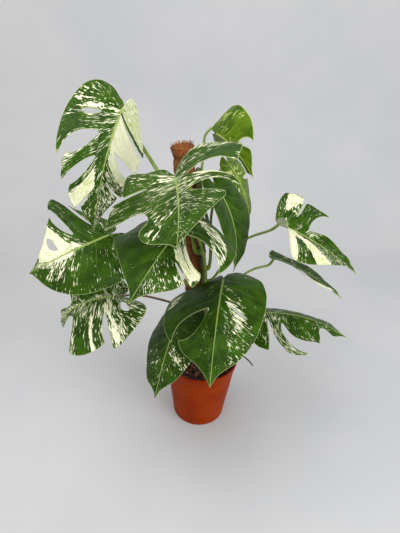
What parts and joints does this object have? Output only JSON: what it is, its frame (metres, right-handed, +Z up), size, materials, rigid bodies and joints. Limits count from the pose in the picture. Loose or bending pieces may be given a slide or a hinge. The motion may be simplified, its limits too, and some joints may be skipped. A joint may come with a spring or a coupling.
{
  "type": "potted albo variegated monstera",
  "caption": "Climbing foliage plant with large split, cream-marbled leaves on a coir pole, rooted in a round plastic nursery pot; a free-standing house plant for rooms and displays.",
  "frame": {"origin": "centre of the pot's base, on the surface that it stands on", "axes": "+Z up; -Y towards the viewer of the plant's front; +X to that viewer's right"},
  "size_m": [0.7279, 0.471, 0.8713],
  "materials": {
    "pot": "satin",
    "soil": "matte",
    "coir": "matte",
    "stem": "satin",
    "root": "matte",
    "stalk": "satin",
    "blade": "satin",
    "new_blade": "satin"
  },
  "bodies": {
    "root": {"pot": "pot", "soil": "soil", "coir_pole": "coir", "climbing_stem": "stem", "air_root": "root", "leaf_crown": "blade", "stalk_crown": "stalk", "leaf_west": "blade", "stalk_west": "stalk", "leaf_front": "blade", "stalk_front": "stalk", "leaf_heart": "blade", "stalk_heart": "stalk", "leaf_plain": "blade", "stalk_plain": "stalk", "leaf_low_front": "blade", "stalk_low_front": "stalk", "leaf_low_left": "blade", "stalk_low_left": "stalk", "leaf_south_west": "blade", "stalk_south_west": "stalk", "leaf_east": "blade", "stalk_east": "stalk", "leaf_side": "blade", "stalk_side": "stalk", "leaf_south_east": "blade", "stalk_south_east": "stalk", "leaf_new_top": "new_blade", "stalk_new_top": "stalk", "leaf_back": "new_blade", "stalk_back": "stalk"}
  },
  "joints": []
}
